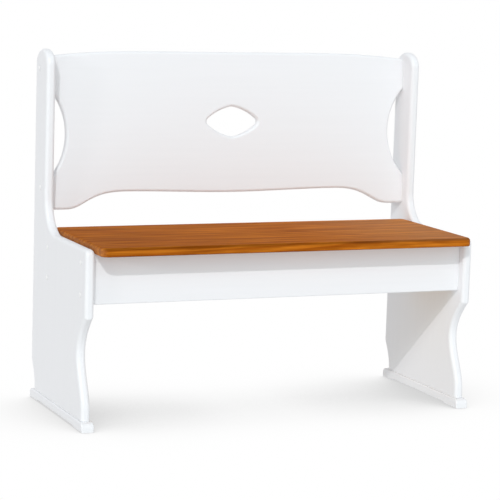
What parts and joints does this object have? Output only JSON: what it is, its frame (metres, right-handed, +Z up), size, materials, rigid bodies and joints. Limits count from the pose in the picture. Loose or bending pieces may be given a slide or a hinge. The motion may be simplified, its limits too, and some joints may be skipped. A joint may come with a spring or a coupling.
{
  "type": "pine storage bench",
  "caption": "Painted pine bench with shaped side panels, a leaning backrest with a diamond hole, and a honey-stained seat that lifts on hinges over a storage box.",
  "frame": {"origin": "middle of the bench's footprint, on the floor", "axes": "+X along the bench, to the right when seen from the front; +Y from the front to the back; +Z up"},
  "size_m": [1.0594, 0.474, 0.9038],
  "materials": {
    "white_paint": "pine under opaque white satin paint",
    "stained_pine": "glued pine board, honey-brown stain, satin lacquer",
    "bare_pine": "planed, unfinished",
    "white_plastic": "moulded, semi-matt",
    "zinc_steel": "bright zinc plating"
  },
  "bodies": {
    "frame": {"side_panel_left": "white_paint", "side_panel_right": "white_paint", "foot_rail_left": "white_paint", "foot_rail_right": "white_paint", "backrest_board": "white_paint", "front_apron": "white_paint", "rear_rail": "white_paint", "box_bottom": "bare_pine", "bottom_cleat_front": "bare_pine", "bottom_cleat_rear": "bare_pine", "screw_front_apron_left_upper": "zinc_steel", "screw_front_apron_left_lower": "zinc_steel", "screw_front_apron_right_upper": "zinc_steel", "screw_front_apron_right_lower": "zinc_steel", "screw_rear_rail_left_upper": "zinc_steel", "screw_rear_rail_left_lower": "zinc_steel", "screw_rear_rail_right_upper": "zinc_steel", "screw_rear_rail_right_lower": "zinc_steel", "screw_backrest_board_left_upper": "zinc_steel", "screw_backrest_board_left_lower": "zinc_steel", "screw_backrest_board_right_upper": "zinc_steel", "screw_backrest_board_right_lower": "zinc_steel", "cap_front_apron_left_upper": "white_plastic", "cap_front_apron_left_lower": "white_plastic", "cap_front_apron_right_upper": "white_plastic", "cap_front_apron_right_lower": "white_plastic", "cap_rear_rail_left_upper": "white_plastic", "cap_rear_rail_left_lower": "white_plastic", "cap_rear_rail_right_upper": "white_plastic", "cap_rear_rail_right_lower": "white_plastic", "cap_backrest_board_left_upper": "white_plastic", "cap_backrest_board_left_lower": "white_plastic", "cap_backrest_board_right_upper": "white_plastic", "cap_backrest_board_right_lower": "white_plastic", "foot_screw_left_front": "zinc_steel", "foot_screw_left_rear": "zinc_steel", "foot_screw_right_front": "zinc_steel", "foot_screw_right_rear": "zinc_steel", "hinge_rail_leaf_left": "zinc_steel", "hinge_rail_leaf_right": "zinc_steel", "hinge_pin_left": "zinc_steel", "hinge_pin_right": "zinc_steel", "hinge_rail_screw_left_1": "zinc_steel", "hinge_rail_screw_left_2": "zinc_steel", "hinge_rail_screw_right_1": "zinc_steel", "hinge_rail_screw_right_2": "zinc_steel"},
    "lid": {"seat_board": "stained_pine", "seat_batten_left": "bare_pine", "seat_batten_right": "bare_pine", "batten_screw_left_front": "zinc_steel", "batten_screw_left_rear": "zinc_steel", "batten_screw_right_front": "zinc_steel", "batten_screw_right_rear": "zinc_steel", "hinge_seat_leaf_left": "zinc_steel", "hinge_seat_leaf_right": "zinc_steel", "hinge_seat_screw_left_1": "zinc_steel", "hinge_seat_screw_left_2": "zinc_steel", "hinge_seat_screw_right_1": "zinc_steel", "hinge_seat_screw_right_2": "zinc_steel"}
  },
  "joints": [
    {"name": "seat_lift", "type": "hinge", "parent": "frame", "child": "lid", "pos_m": [0, 0.1313, 0.43335], "axis": [-1, 0, 0], "range_deg": [0, 95]}
  ]
}
